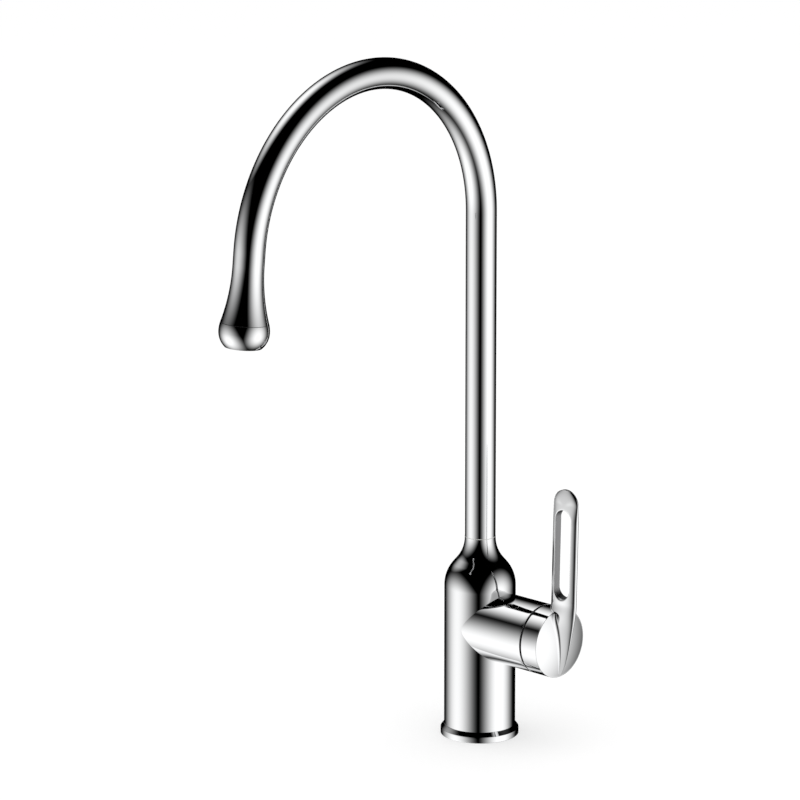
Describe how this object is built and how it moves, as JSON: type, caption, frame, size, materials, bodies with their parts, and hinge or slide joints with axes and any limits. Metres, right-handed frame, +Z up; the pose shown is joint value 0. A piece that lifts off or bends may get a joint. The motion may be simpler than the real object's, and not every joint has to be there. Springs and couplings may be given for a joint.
{
  "type": "filtered water tap",
  "caption": "Tall swan-neck kitchen tap with a teardrop nozzle, a swivelling spout and one side lever for hot, cold and filtered water.",
  "frame": {"origin": "on the deck surface, under the centre of the upright body, in the plane of the base's flat underside", "axes": "+Z up along the body and the column, -Y the way the spout points at rest, +X along the side housing towards the lever"},
  "size_m": [0.1192, 0.276, 0.5002],
  "materials": {
    "chrome": "mirror polished plate",
    "brass": "as turned",
    "steel": "satin",
    "black_rubber": "matte",
    "black_plastic": "satin",
    "grey_plastic": "satin",
    "white_plastic": "satin",
    "white_ceramic": "lapped"
  },
  "bodies": {
    "tap_body": {"body_casting": "chrome", "hot_inlet_socket": "brass", "cold_inlet_socket": "brass", "filtered_inlet_socket": "brass", "base_collar": "chrome", "base_seal": "black_rubber", "port_seals": "black_rubber", "cartridge_body": "grey_plastic", "fixed_ceramic_disc": "white_ceramic", "stop_ring": "grey_plastic", "cartridge_cover": "grey_plastic", "retaining_nut": "brass", "glide_ring": "black_plastic", "thrust_washer": "white_plastic", "spout_lock_screw": "steel", "filter_tube_seal": "black_rubber"},
    "spout": {"spout_tube": "chrome", "filtered_water_tube": "white_plastic", "spout_spigot": "brass", "swivel_rings": "white_plastic", "spout_seals": "black_rubber", "spout_end_drop": "chrome", "nozzle_cap": "chrome", "outlet_insert": "grey_plastic", "filtered_outlet_tip": "black_plastic", "nozzle_seal": "black_rubber"},
    "lever": {"lever_casting": "chrome", "lever_spindle": "brass", "moving_ceramic_disc": "white_ceramic", "stem_seal": "black_rubber", "lever_grub_screw": "steel"}
  },
  "joints": [
    {"name": "spout_swivel", "type": "hinge", "parent": "tap_body", "child": "spout", "pos_m": [0, 0, 0.15], "axis": [0, 0, 1], "continuous": true},
    {"name": "lever_turn", "type": "hinge", "parent": "tap_body", "child": "lever", "pos_m": [0.06, 0, 0.08123], "axis": [1, 0, 0], "range_deg": [-90, 90]}
  ]
}
